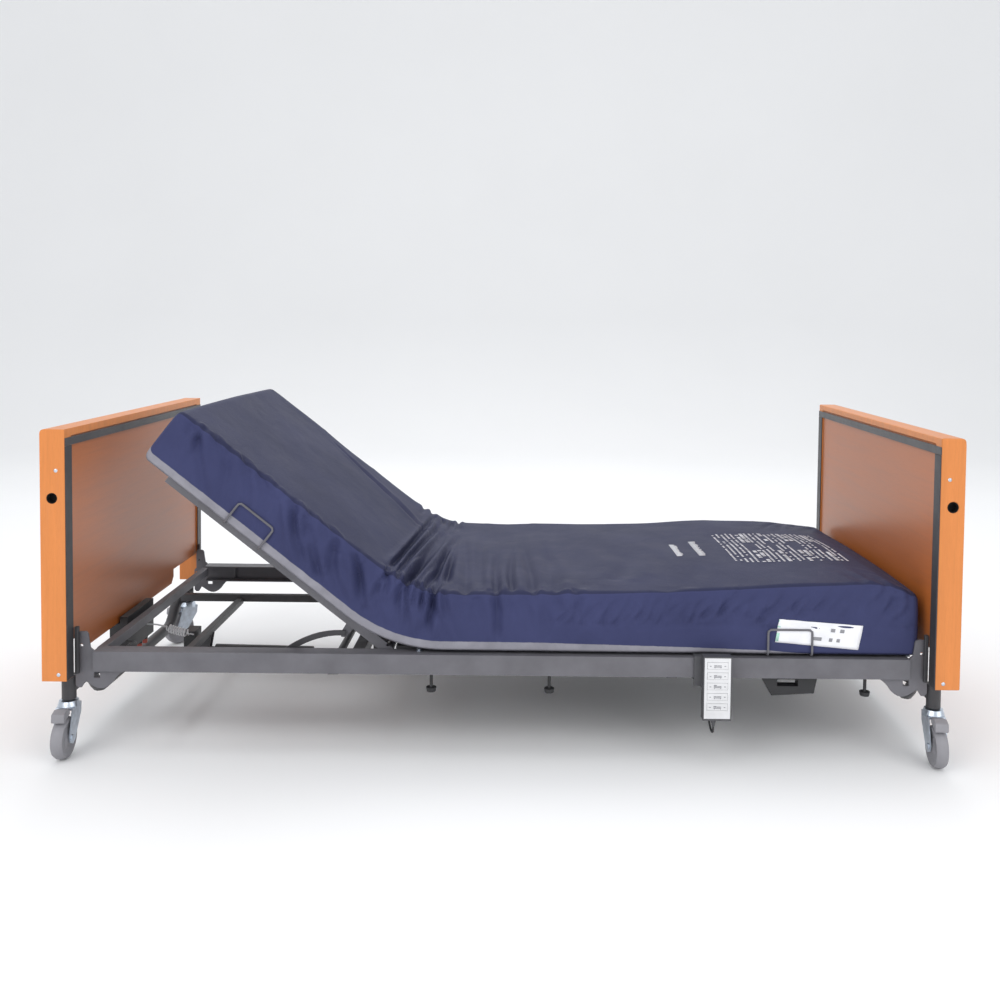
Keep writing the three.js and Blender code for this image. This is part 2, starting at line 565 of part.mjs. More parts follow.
// ---- hand screws and the hanger under the near rail ----------------------------------------
[-172, 117, 890].forEach((x, i) => {
  const stem = cylinderAt("z", 4, 40, x, -430, 185.5, 10);
  const cap = new THREE.CylinderGeometry(13, 11, 11, 20).rotateX(Math.PI / 2)
    .translate(x, -430, 163.5);
  add(`hand_screw_${i + 1}`, join(stem, cap), BLACK);
});

const hangerOutline = [[633, 205.5], [660, 158], [764, 164], [772, 205.5]];
const hangerWindow = box(674, 724, -500, -300, 182, 198);
add("accessory_hanger", cut(plateXZ(hangerOutline, -438, -410), hangerWindow), DARK_STEEL);

export default bed;
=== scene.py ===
import json
import math

import bmesh
import bpy
import numpy as np
from mathutils import Matrix, Vector


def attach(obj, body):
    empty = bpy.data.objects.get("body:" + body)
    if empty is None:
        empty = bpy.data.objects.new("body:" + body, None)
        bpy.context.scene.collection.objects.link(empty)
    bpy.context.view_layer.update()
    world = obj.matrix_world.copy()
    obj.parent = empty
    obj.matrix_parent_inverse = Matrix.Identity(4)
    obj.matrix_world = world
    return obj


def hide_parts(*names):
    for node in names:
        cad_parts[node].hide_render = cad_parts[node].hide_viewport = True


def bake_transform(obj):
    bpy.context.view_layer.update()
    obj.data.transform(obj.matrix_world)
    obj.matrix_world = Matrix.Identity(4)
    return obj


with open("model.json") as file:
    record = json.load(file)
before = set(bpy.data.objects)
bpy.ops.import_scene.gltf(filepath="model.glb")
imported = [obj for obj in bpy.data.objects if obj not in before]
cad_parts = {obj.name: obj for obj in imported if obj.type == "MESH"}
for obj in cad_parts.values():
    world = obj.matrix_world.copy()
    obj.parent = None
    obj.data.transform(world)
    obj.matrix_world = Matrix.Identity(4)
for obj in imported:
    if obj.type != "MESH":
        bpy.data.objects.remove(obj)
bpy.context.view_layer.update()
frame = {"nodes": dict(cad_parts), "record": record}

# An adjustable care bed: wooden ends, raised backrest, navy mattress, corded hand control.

MM = 0.001
NODES = frame["nodes"]
BODY_OF = {n: body for body, members in frame["record"]["behaviour"]["bodies"].items()
           for n in members}
rng = np.random.default_rng(7)


# ---- camera ------------------------------------------------------------------------

def place_camera():
    """A level view along +Y, pitched down and rolled a little; the lens axis is shifted."""
    pitch, roll = math.radians(2.545), math.radians(0.593)
    level = np.array([[1, 0, 0], [0, 0, -1], [0, 1, 0]], float)
    cp, sp, cr, sr = math.cos(pitch), math.sin(pitch), math.cos(roll), math.sin(roll)
    tilt = np.array([[1, 0, 0], [0, cp, -sp], [0, sp, cp]])
    turn = np.array([[cr, -sr, 0], [sr, cr, 0], [0, 0, 1]])
    right, down, ahead = turn @ tilt @ level
    data = bpy.data.cameras.new("camera")
    data.lens = 36.55
    data.sensor_width = 36
    data.shift_x = -0.0254
    data.shift_y = -0.132
    data.clip_end = 60
    camera = bpy.data.objects.new("camera", data)
    bpy.context.collection.objects.link(camera)
    axes = Matrix(np.column_stack([right, -down, -ahead]).tolist()).to_4x4()
    camera.matrix_world = Matrix.Translation((0.0507, -2.8811, 1.0618)) @ axes
    bpy.context.scene.camera = camera


place_camera()


# ---- materials ---------------------------------------------------------------------

class Shader:
    """A node tree with one Principled surface, and short calls that add to it."""

    def __init__(self, name, roughness=0.5, metallic=0.0, **sockets):
        self.material = bpy.data.materials.new(name)
        self.material.use_nodes = True
        self.nodes = self.material.node_tree.nodes
        self.links = self.material.node_tree.links
        self.surface = self.nodes["Principled BSDF"]
        self.surface.inputs["Roughness"].default_value = roughness
        self.surface.inputs["Metallic"].default_value = metallic
        for socket, value in sockets.items():
            self.surface.inputs[socket.replace("_", " ")].default_value = value
        self.coordinates = self.nodes.new("ShaderNodeTexCoord").outputs["Object"]

    def stretched(self, scale, turn=(0, 0, 0)):
        mapping = self.nodes.new("ShaderNodeMapping")
        mapping.inputs["Scale"].default_value = scale
        mapping.inputs["Rotation"].default_value = turn
        self.links.new(self.coordinates, mapping.inputs["Vector"])
        return mapping.outputs["Vector"]

    def noise(self, scale, detail=4.0, rough=0.55, vector=None, distortion=0.0):
        node = self.nodes.new("ShaderNodeTexNoise")
        node.inputs["Scale"].default_value = scale
        node.inputs["Detail"].default_value = detail
        node.inputs["Roughness"].default_value = rough
        node.inputs["Distortion"].default_value = distortion
        self.links.new(vector or self.coordinates, node.inputs["Vector"])
        return node.outputs["Fac"]

    def wave(self, scale, vector, distortion=0.0, direction="X"):
        node = self.nodes.new("ShaderNodeTexWave")
        node.bands_direction = direction
        node.inputs["Scale"].default_value = scale
        node.inputs["Distortion"].default_value = distortion
        self.links.new(vector, node.inputs["Vector"])
        return node.outputs["Fac"]

    def ramp(self, value, stops):
        node = self.nodes.new("ShaderNodeValToRGB")
        elements = node.color_ramp.elements
        while len(elements) < len(stops):
            elements.new(0.5)
        for element, (place, colour) in zip(elements, stops):
            element.position = place
            element.color = (*colour, 1)
        self.links.new(value, node.inputs["Fac"])
        return node.outputs["Color"]

    def scaled(self, value, low, high):
        node = self.nodes.new("ShaderNodeMapRange")
        node.inputs["To Min"].default_value = low
        node.inputs["To Max"].default_value = high
        self.links.new(value, node.inputs["Value"])
        return node.outputs["Result"]

    def ranged(self, value, start, end):
        """0 before start, 1 after end, a straight run between."""
        node = self.nodes.new("ShaderNodeMapRange")
        node.inputs["From Min"].default_value = start
        node.inputs["From Max"].default_value = end
        self.links.new(value, node.inputs["Value"])
        return node.outputs["Result"]

    def chosen(self, factor, a, b):
        node = self.nodes.new("ShaderNodeMix")
        node.data_type = "RGBA"
        self.links.new(factor, node.inputs["Factor"])
        self.links.new(a, node.inputs["A"])
        self.links.new(b, node.inputs["B"])
        return node.outputs["Result"]

    def combined(self, a, b, kind="ADD"):
        node = self.nodes.new("ShaderNodeMath")
        node.operation = kind
        self.links.new(a, node.inputs[0])
        self.links.new(b, node.inputs[1])
        return node.outputs["Value"]

    def blended(self, factor, a, b, kind="MULTIPLY"):
        node = self.nodes.new("ShaderNodeMix")
        node.data_type = "RGBA"
        node.blend_type = kind
        node.inputs["Factor"].default_value = factor
        self.links.new(a, node.inputs["A"])
        self.links.new(b, node.inputs["B"])
        return node.outputs["Result"]

    def colour(self, socket):
        self.links.new(socket, self.surface.inputs["Base Color"])
        return self

    def roughness(self, value, low, high):
        self.links.new(self.scaled(value, low, high), self.surface.inputs["Roughness"])
        return self

    def bump(self, height, strength, depth):
        node = self.nodes.new("ShaderNodeBump")
        node.inputs["Strength"].default_value = strength
        node.inputs["Distance"].default_value = depth
        self.links.new(height, node.inputs["Height"])
        if self.surface.inputs["Normal"].is_linked:
            self.links.new(self.surface.inputs["Normal"].links[0].from_socket,
                           node.inputs["Normal"])
        self.links.new(node.outputs["Normal"], self.surface.inputs["Normal"])
        return self


def shade(colour, factor):
    return tuple(min(1.0, c * factor) for c in colour)


def powder_coat(name, colour, roughness=0.5):
    """Satin powder coat: a fine orange-peel skin and cloudy dust over one colour."""
    s = Shader(name, roughness, Coat_Weight=0.15, Coat_Roughness=0.35)
    cloud = s.noise(9, 6, 0.6)
    s.colour(s.ramp(cloud, [(0.3, shade(colour, 0.82)), (0.7, shade(colour, 1.18))]))
    s.roughness(s.noise(40, 5), roughness - 0.1, roughness + 0.12)
    return s.bump(s.noise(900, 3), 0.25, 0.0003).material


def zinc_plate(name, colour):
    """Bright zinc: metal with faint mottling and fine scratches along Z."""
    s = Shader(name, 0.3, 1.0)
    s.colour(s.ramp(s.noise(60, 5), [(0.3, shade(colour, 0.8)), (0.7, shade(colour, 1.1))]))
    scratches = s.noise(30, 8, 0.7, s.stretched((30, 30, 2)))
    s.roughness(scratches, 0.2, 0.46)
    return s.bump(scratches, 0.1, 0.0002).material


def laminate(name, colour, grain_axis="Z", coat=0.3):
    """Beech-pattern laminate: long streaks along the grain with short darker flecks."""
    s = Shader(name, 0.42, Coat_Weight=coat, Coat_Roughness=0.3, Specular_IOR_Level=0.3)
    along = (26, 26, 1.4) if grain_axis == "Z" else (26, 1.4, 26)
    flecks = (220, 220, 14) if grain_axis == "Z" else (220, 14, 220)
    streak = s.noise(2.2, 8, 0.62, s.stretched(along), 0.6)
    fleck = s.noise(3.0, 3, 0.5, s.stretched(flecks))
    broad = s.ramp(streak, [(0.28, shade(colour, 0.90)), (0.5, colour),
                            (0.75, shade(colour, 1.08))])
    fine = s.ramp(fleck, [(0.35, (0.92, 0.90, 0.88)), (0.5, (1, 1, 1))])
    s.colour(s.blended(0.55, broad, fine))
    s.roughness(streak, 0.32, 0.46)
    return s.bump(fleck, 0.08, 0.0002).material


def coated_cloth(name, colour, painted_top_colour, band_colour):
    """Stretch-knit cover with a soft coating. The map's v is the height over the grey base
    band on the sides, and 1 on the top, whose colour is painted darker and greyer as shade and
    reflection."""
    s = Shader(name, 0.5, Sheen_Weight=0.02, Sheen_Roughness=0.4, Specular_IOR_Level=0.07,
               Sheen_Tint=(0.8, 0.82, 0.95, 1))
    uv = s.nodes.new("ShaderNodeTexCoord").outputs["UV"]
    split = s.nodes.new("ShaderNodeSeparateXYZ")
    s.links.new(uv, split.inputs["Vector"])
    v = split.outputs["Y"]
    cloud = s.noise(5, 6, 0.6)
    side = s.ramp(cloud, [(0.3, shade(colour, 0.88)), (0.7, shade(colour, 1.12))])
    # painted light: the top gets its own darker, greyer colour as painted shade and painted
    # reflection on the top face
    top = s.ramp(cloud, [(0.3, shade(painted_top_colour, 0.88)), (0.7, shade(painted_top_colour, 1.12))])
    band = s.ramp(s.noise(24, 5), [(0.3, shade(band_colour, 0.86)),
                                   (0.7, shade(band_colour, 1.1))])
    cloth = s.chosen(s.ranged(v, 0.3, 0.7), side, top)
    edge = s.combined(v, s.scaled(s.noise(60, 3), -0.0012, 0.0012))
    s.colour(s.chosen(s.ranged(edge, -0.0006, 0.0006), band, cloth))
    s.roughness(s.noise(14, 5), 0.42, 0.6)
    rib = s.wave(330, s.stretched((1, 1, 1)), 0.4, "X")
    weft = s.wave(330, s.stretched((1, 1, 1)), 0.4, "DIAGONAL")
    s.bump(s.combined(rib, weft), 0.1, 0.0003)
    crease = s.noise(16, 9, 0.6, s.stretched((1.9, 0.8, 1.3)), 1.3)
    return s.bump(crease, 0.22, 0.006).material


def moulded_plastic(name, colour, roughness=0.45):
    """Moulded plastic: fine spark-eroded grain and faint handling marks."""
    s = Shader(name, roughness)
    s.colour(s.ramp(s.noise(12, 5), [(0.3, shade(colour, 0.88)), (0.7, shade(colour, 1.1))]))
    s.roughness(s.noise(35, 6), roughness - 0.1, roughness + 0.12)
    return s.bump(s.noise(1400, 2), 0.2, 0.0002).material


STEEL = powder_coat("rail_grey_coat", (0.128, 0.125, 0.140))
DARK = powder_coat("frame_dark_coat", (0.040, 0.039, 0.043))
ZINC = zinc_plate("castor_zinc", (0.62, 0.68, 0.76))
BEECH = laminate("beech_frame", (0.68, 0.235, 0.062), "Z", 0.12)
# the board is the frame's laminate coloured darker: painted shade on the recessed board
BOARD_IN_PAINTED_SHADE = laminate("beech_board_painted_shade", (0.44, 0.125, 0.028), "Y", 0.4)
# side colour, then the top colour darkened and greyed as painted shade and painted reflection,
# then the grey base band
NAVY = coated_cloth("navy_cover", (0.048, 0.054, 0.128), (0.031, 0.034, 0.074),
                    (0.27, 0.265, 0.30))
BLACK = moulded_plastic("black_plastic", (0.018, 0.018, 0.02))
HOLLOW = moulded_plastic("socket_black", (0.003, 0.003, 0.003), 0.8)
CASING = moulded_plastic("control_casing", (0.075, 0.075, 0.082))
TYRE = moulded_plastic("tyre_grey", (0.27, 0.265, 0.285), 0.6)
WHITE = moulded_plastic("white_plastic", (0.74, 0.74, 0.75), 0.4)
LEAD = moulded_plastic("lead_white", (0.66, 0.66, 0.68), 0.4)
PRINT = moulded_plastic("print_white", (0.62, 0.62, 0.66), 0.6)
LABEL = moulded_plastic("label_white", (0.85, 0.85, 0.88), 0.5)
MARK = moulded_plastic("mark_grey", (0.28, 0.28, 0.30), 0.5)
GREEN = moulded_plastic("label_green", (0.42, 0.70, 0.58), 0.5)
RED = moulded_plastic("plug_red", (0.35, 0.06, 0.04), 0.45)
STRIP = powder_coat("strip_grey", (0.055, 0.053, 0.055), 0.45)


# ---- making pieces -----------------------------------------------------------------

def new_piece(name, vertices, faces, body, material, sharp=38):
    mesh = bpy.data.meshes.new(name)
    mesh.from_pydata(np.asarray(vertices, float).tolist(), [], faces)
    mesh.update()
    piece = bpy.data.objects.new(name, mesh)
    bpy.context.collection.objects.link(piece)
    for m in material if isinstance(material, (list, tuple)) else [material]:
        mesh.materials.append(m)
    mesh.polygons.foreach_set("use_smooth", np.ones(len(mesh.polygons), bool))
    if sharp:
        mesh.set_sharp_from_angle(angle=math.radians(sharp))
    if body:
        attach(piece, body)
    return piece


def face_outwards(piece):
    b = bmesh.new()
    b.from_mesh(piece.data)
    bmesh.ops.recalc_face_normals(b, faces=b.faces)
    b.to_mesh(piece.data)
    b.free()
    return piece


def grid_faces(rows, columns, around=True):
    """Quads between neighbours of a rows by columns grid, closed round the columns."""
    r = np.arange(rows - 1)[:, None]
    c = np.arange(columns if around else columns - 1)[None, :]
    n = (c + 1) % columns
    quads = np.stack([r * columns + c, r * columns + n,
                      (r + 1) * columns + n, (r + 1) * columns + c], -1)
    return quads.reshape(-1, 4).tolist()


def lofted(name, rings, body, material, sharp=38):
    """A closed skin through rings of points, each ring one section, with flat end caps."""
    rows, columns = rings.shape[:2]
    faces = grid_faces(rows, columns)
    faces.append(list(range(columns))[::-1])
    faces.append(list(range((rows - 1) * columns, rows * columns)))
    piece = new_piece(name, rings.reshape(-1, 3), faces, body, material, sharp)
    return face_outwards(piece)


def turned(name, profile, centre, axis, body, material, sides=28):
    """A profile of (radius, height) points turned about an axis through centre."""
    radius, height = np.array(profile, float).T
    a = np.linspace(0, 2 * np.pi, sides, endpoint=False)
    rings = np.stack([radius[:, None] * np.cos(a), radius[:, None] * np.sin(a),
                      height[:, None] + 0 * a], -1)
    quat = Vector((0, 0, 1)).rotation_difference(Vector(axis))
    rings = rings @ np.array(quat.to_matrix()).T + np.array(centre)
    return lofted(name, rings, body, material)


def block(name, low, high, body, material, edge=0.001, segments=2):
    """A box from its low to its high corner, its rings run along Z, with rounded edges."""
    low, high = np.minimum(low, high), np.maximum(low, high)
    corners = np.array([[0, 0], [1, 0], [1, 1], [0, 1]], float)
    xy = low[:2] + corners * (high - low)[:2]
    rings = np.stack([np.column_stack([xy, np.full(4, z)]) for z in (low[2], high[2])])
    piece = lofted(name, rings, body, material, 0)
    soften(piece, edge, segments)
    return piece


def soften(piece, width, segments=2):
    bevel = piece.modifiers.new("edges", "BEVEL")
    bevel.width = width
    bevel.segments = segments
    bevel.limit_method = "ANGLE"
    bevel.angle_limit = math.radians(40)
    bevel.harden_normals = True
    bevel.use_clamp_overlap = True
    return piece


def wire(name, points, diameter, body, material, sides=4):
    """A round wire along a list of points, as a curve with a round bevel."""
    curve = bpy.data.curves.new(name, "CURVE")
    curve.dimensions = "3D"
    curve.bevel_depth = diameter / 2
    curve.bevel_resolution = sides
    curve.use_fill_caps = True
    spline = curve.splines.new("POLY")
    spline.points.add(len(points) - 1)
    flat = np.column_stack([np.asarray(points, float), np.ones(len(points))]).ravel()
    spline.points.foreach_set("co", flat)
    piece = bpy.data.objects.new(name, curve)
    bpy.context.collection.objects.link(piece)
    curve.materials.append(material)
    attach(piece, body)
    return piece


def smooth_route(points, step=0.004):
    """A centripetal Catmull-Rom curve through points, resampled about every step."""
    p = np.asarray(points, float)
    p = np.vstack([2 * p[0] - p[1], p, 2 * p[-1] - p[-2]])
    gaps = np.linalg.norm(np.diff(p, axis=0), axis=1)
    knots = np.concatenate([[0], np.cumsum(np.sqrt(gaps))])
    pieces = []
    for i in range(1, len(p) - 2):
        t0, t1, t2, t3 = knots[i - 1:i + 3]
        count = max(2, int(np.linalg.norm(p[i + 1] - p[i]) / step) + 1)
        t = np.linspace(t1, t2, count, endpoint=False)[:, None]
        a1 = (t1 - t) / (t1 - t0) * p[i - 1] + (t - t0) / (t1 - t0) * p[i]
        a2 = (t2 - t) / (t2 - t1) * p[i] + (t - t1) / (t2 - t1) * p[i + 1]
        a3 = (t3 - t) / (t3 - t2) * p[i + 1] + (t - t2) / (t3 - t2) * p[i + 2]
        b1 = (t2 - t) / (t2 - t0) * a1 + (t - t0) / (t2 - t0) * a2
        b2 = (t3 - t) / (t3 - t1) * a2 + (t - t1) / (t3 - t1) * a3
        pieces.append((t2 - t) / (t2 - t1) * b1 + (t - t1) / (t2 - t1) * b2)
    return np.vstack([*pieces, p[-2]])


# ---- cords -------------------------------------------------------------------------

CONTROL_CORD = np.array([
    [512.5, -472, 93.7], [512.5, -471.4, 86], [512.5, -467, 79], [512, -458, 75.5],
    [511, -448, 79], [509, -442, 90], [506, -438, 110], [500, -434, 145],
    [490, -424, 178], [474, -404, 189], [450, -388, 190], [420, -382, 189],
    [365, -380, 188], [320, -382, 191], [290, -384, 203], [268, -390, 216],
    [245, -404, 223], [215, -418, 222], [180, -428, 220], [120, -430, 219],
    [-150, -430, 219], [-350, -430, 219], [-550, -430, 219], [-750, -430, 219],
    [-880, -429, 220], [-930, -418, 221], [-956, -394, 221], [-964, -360, 221],
    [-966, -320, 221], [-966, -280, 220], [-967, -255, 216], [-970, -236, 209],
    [-978, -218, 203], [-990, -202, 199], [-1009.5, -190, 196]]) * MM
CORD_DIAMETER = 0.0052

control_route = smooth_route(CONTROL_CORD)
control_cord = wire("control_cord", control_route, CORD_DIAMETER, "deck", BLACK)
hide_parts("handset_cord")

CURLY_PATH = np.array([
    [-1009.5, -52, 202], [-985, -52, 201], [-960, -54, 197], [-925, -60, 187],
    [-888, -62, 180], [-880, -48, 172]]) * MM
CURL_RADIUS = 0.0095
CURL_DIAMETER = 0.0042
CURL_PITCH = 0.0075


def curled(path, start, end):
    """A helix round the middle stretch of a path. Its radius and its rate of turn both grow
    from nothing and fall back to nothing, so the wire runs into the curl without a kink."""
    gaps = np.linalg.norm(np.diff(path, axis=0), axis=1)
    along = np.concatenate([[0], np.cumsum(gaps)])
    s = np.linspace(0, along[-1], 620)
    centre = np.column_stack([np.interp(s, along, path[:, k]) for k in range(3)])
    tangent = np.gradient(centre, axis=0)
    tangent /= np.linalg.norm(tangent, axis=1)[:, None]
    side = np.cross(tangent, [0, 0, 1.0])
    side /= np.linalg.norm(side, axis=1)[:, None]
    up = np.cross(side, tangent)
    ramp = np.clip(np.minimum(s - start, end - s) / 0.016, 0, 1)
    ramp = ramp * ramp * (3 - 2 * ramp)
    angle = np.cumsum(2 * np.pi / CURL_PITCH * ramp) * (s[1] - s[0])
    radius = CURL_RADIUS * ramp
    turn = np.cos(angle)[:, None] * up + np.sin(angle)[:, None] * side
    return centre + radius[:, None] * turn


curly_route = curled(smooth_route(CURLY_PATH), 0.052, 0.132)
curly_lead = wire("curly_lead", curly_route, CURL_DIAMETER, "deck", LEAD, sides=3)
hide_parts("control_lead")


# ---- mattress ----------------------------------------------------------------------
# Places on the mattress are given flat: x along the deck, p round the section from the
# near top edge, negative down the near side, positive across the top and down the far side.

HALF = 438.0
EDGE = 13.0  # radius of the top edges
BASE_Z = 262.6
BEND = math.radians(38)
CORNER_X = -275.4  # where the raised and the flat base lines cross
TANGENT = 135.0
BEND_R = TANGENT / math.tan(BEND / 2)
HEAD_X, FOOT_X = -1036.0, 1018.0
ARC = math.pi * EDGE / 4
TOP_SPAN = 2 * (HALF - EDGE)
FAR_P = TOP_SPAN + 2 * ARC  # p at the far top edge
SPLITS = (-135.0, 120.0)

NEAR_HEIGHT = [(-1036, 145), (-600, 147), (-300, 149), (-140, 141), (0, 141), (250, 147),
               (481, 156), (700, 168), (890, 177), (945, 173), (985, 157), (1018, 140)]
FAR_HEIGHT = [(-1036, 145), (-600, 147), (-300, 147), (-140, 141), (0, 138), (315, 143),
              (640, 157), (860, 154), (960, 144), (1018, 136)]


def eased(t):
    t = np.clip(t, 0, 1)
    return t * t * (3 - 2 * t)


def base_line(x):
    """The base's path: straight up the backrest, one arc through the bend, then level."""
    flat_end = CORNER_X + TANGENT
    arc_length = BEND_R * BEND
    back = np.clip(flat_end - x, 0, None) * (2 * TANGENT / arc_length) ** -1
    back = np.where(flat_end - x > 2 * TANGENT, flat_end - x - 2 * TANGENT + arc_length, back)
    phi = np.clip(back / BEND_R, 0, BEND)
    past = np.clip(back - arc_length, 0, None)
    px = np.where(x >= flat_end, x, flat_end - BEND_R * np.sin(phi) - past * math.cos(BEND))
    pz = BASE_Z + BEND_R * (1 - np.cos(phi)) + past * math.sin(BEND)
    return px, pz, phi


def section(p, height_near, height_far):
    """Across (y), up (h) and the outward direction at p: side, round edge, top, edge, side."""
    a_near = np.clip((p + ARC) / (2 * ARC), 0, 1) * math.pi / 2
    a_far = np.clip((p - FAR_P + ARC) / (2 * ARC), 0, 1) * math.pi / 2
    y = -HALF + EDGE - EDGE * np.cos(a_near) + np.clip(p - ARC, 0, TOP_SPAN)
    y = y + EDGE * np.sin(a_far)
    share = eased((y + HALF) / (2 * HALF))
    height = height_near * (1 - share) + height_far * share
    drop = np.clip(-ARC - p, 0, None) + np.clip(p - FAR_P - ARC, 0, None)
    top = height - EDGE + EDGE * np.sin(a_near) - EDGE * (1 - np.cos(a_far))
    full = np.where(p < FAR_P / 2, height_near, height_far) - EDGE
    side_length = np.where(p < FAR_P / 2, height_near, height_far) - EDGE
    h = top - drop * full / side_length
    out_y = -np.cos(a_near) + np.sin(a_far)
    out_h = np.sin(a_near) * np.cos(a_far)
    return y, h, out_y, out_h


def fold_list():
    """Creases as segments (x0, p0, x1, p1, width, depth), in families by place."""
    folds = []

    def family(count, x0, x1, p0, p1, run, lean, width, depth, spread=1.0):
        places = np.linspace(x0, x1, count)
        for x in places:
            a = x + rng.normal(0, 6 * spread)
            start = p0 + rng.uniform(-0.15, 0.15) * (p1 - p0)
            length = run * rng.uniform(0.6, 1.15)
            folds.append((a, start, a + lean * length + rng.normal(0, 8 * spread),
                          start + length * np.sign(p1 - p0),
                          width * rng.uniform(0.75, 1.3), depth * rng.uniform(0.55, 1.15)))

    family(6, -392, -188, -60, 690, 800, 0.12, 12.0, 17.0, 0.5)  # deep folds inside the bend
    family(5, -372, -215, 20, 330, 300, 0.14, 7, 5.0)            # short ones between them
    family(10, -400, -150, 14, -125, 125, 0.35, 8, 11.0)           # the same, down the side
    family(6, -380, -170, 880, 560, 260, 0.05, 11, 6.0)          # from the far edge
    family(9, -175, 150, -30, 640, 680, -0.03, 11, 12.5)          # broad folds on the seat
    family(9, -150, 170, 6, -105, 95, 0.30, 10, 5.0)
    family(7, 80, 460, 20, 600, 420, 0.10, 22, 4.0, 2)
    family(15, -1000, -460, 4, -128, 125, 0.85, 9, 9.0, 2)     # drags on the raised side
    family(9, -700, -420, -10, -130, 115, 1.1, 9, 6.5, 1.5)
    family(6, -560, -380, -120, -30, 90, -1.3, 9, 6.5, 1.0)      # from the retainer outwards
    family(24, 130, 760, -78, -8, 76, 0.75, 7, 6.5, 0.8)        # fine slants on the leg side
    family(12, 600, 960, -74, -12, 60, 0.9, 9, 3.4, 1.2)
    family(8, 930, 1005, -4, -122, 100, -0.35, 9, 4.6, 0.6)      # gathers at the foot corner
    family(6, 880, 985, 12, 220, 150, -0.5, 12, 3.2, 1.0)
    family(5, 880, 985, 860, 640, 150, -0.5, 12, 3.2, 1.0)
    family(6, -1020, -950, 0, -122, 110, 0.4, 9, 5.5, 0.6)      # gathers at the head corner
    family(12, -1000, 950, FAR_P + 14, FAR_P + 110, 80, 0.5, 12, 2.6, 3)
    for i in range(5):                                      # long lines by the far edge
        x = -760 + 62 * i
        folds.append((x, 800 - 24 * i, x + 250, 640 - 30 * i, 12, 4.2))
    return np.array(folds)


FOLDS = fold_list()


def creases(x, p):
    """Sum over the folds of a valley and a softer ridge beside it, fading at both ends."""
    total = np.zeros(np.broadcast(x, p).shape)
    for x0, p0, x1, p1, width, depth in FOLDS:
        dx, dp = x1 - x0, p1 - p0
        span = math.hypot(dx, dp)
        along = ((x - x0) * dx + (p - p0) * dp) / span ** 2
        off = ((x - x0) * dp - (p - p0) * dx) / span
        off = off + 5 * np.sin(along * 5 + x0)
        fade = np.clip(along / 0.09, 0, 1) * np.clip((1 - along) / 0.75, 0, 1) ** 0.8
        valley = np.exp(-(off / width) ** 2)
        ridge = np.exp(-((np.abs(off) - 1.9 * width) / (1.2 * width)) ** 2)
        total += depth * fade * (0.45 * ridge - valley)
    return total


def swell(x, p):
    """Slow unevenness of the foam under the cover: a few long waves."""
    return (1.3 * np.sin(x / 83 + p / 140) + 1.1 * np.sin(x / 151 - p / 71 + 2)
            + 0.7 * np.sin(x / 37 + p / 52 + 1))


def mattress_point(x, p, lift=0.0, inset=0.0):
    """A place on the skin in metres: the section carried along the base line, plus creases."""
    x, p = np.broadcast_arrays(np.asarray(x, float), np.asarray(p, float))
    near = np.interp(x, *np.array(NEAR_HEIGHT, float).T)
    far = np.interp(x, *np.array(FAR_HEIGHT, float).T)
    y, h, out_y, out_h = section(p, near, far)
    on_top = eased((out_h - 0.7) / 0.3)
    on_side = 1 - on_top
    deep = np.clip(h / 150, 0, 1)
    crown = 7 * on_top * (1 - (y / HALF) ** 2)
    bulge = 3.0 * on_side * np.sin(np.pi * np.clip(h / near, 0, 1))
    flap = -2.4 * np.exp(-((h - 68) / 2.6) ** 2) + 1.2 * eased((68 - h) / 6)
    flap = flap * on_side * eased((x - 60) / 160)
    seam = -1.6 * np.exp(-((h - near + 15) / 2.2) ** 2) * on_side
    ends = eased((x - HEAD_X) / 60) * eased((FOOT_X - x) / 40)
    d = (creases(x, p) * eased(h / 40) + swell(x, p) * (0.35 + 0.65 * on_top) * deep) * ends
    d = d + crown + bulge + flap + seam + lift
    ch = near / 2
    shrink_y = 1 - inset / HALF
    shrink_h = 1 - 2 * inset / near
    y2 = (y + d * out_y) * shrink_y
    h2 = ch + (h + d * out_h - ch) * shrink_h
    h2 = np.maximum(h2, 0)
    bx, bz, phi = base_line(x)
    return np.stack([bx + h2 * np.sin(phi), y2, bz + h2 * np.cos(phi)], -1) * MM


def section_steps():
    """p round one section: near side, round edge, top, round edge, far side."""
    side = np.linspace(-160, -ARC, 26)
    edge = np.linspace(-ARC, ARC, 7)[1:-1]
    top = np.linspace(ARC, FAR_P - ARC, 136)
    return np.concatenate([side, edge, top, edge + FAR_P, FAR_P - side[::-1]])


BASE_STEPS = 12      # points of a ring that lie on the flat base
UNDER_BASE = -0.02   # their height on the map, below the band


def mattress_ring(x, inset=0.0, shift=0.0):
    """One closed ring: the skin from base to base, the side stretched to the local height."""
    p = section_steps()
    near = float(np.interp(x, *np.array(NEAR_HEIGHT, float).T))
    far = float(np.interp(x, *np.array(FAR_HEIGHT, float).T))
    reach = 160 - ARC
    p = np.where(p < -ARC, -ARC + (p + ARC) * (near - EDGE) / reach, p)
    p = np.where(p > FAR_P + ARC, FAR_P + ARC + (p - FAR_P - ARC) * (far - EDGE) / reach, p)
    ring = mattress_point(x, p, 0, inset)
    across = np.linspace(ring[-1], ring[0], BASE_STEPS + 2)[1:-1]
    ring = np.vstack([ring, across])
    _, _, phi = base_line(np.array(float(x)))
    return ring + np.array([math.cos(phi), 0, -math.sin(phi)]) * shift * MM


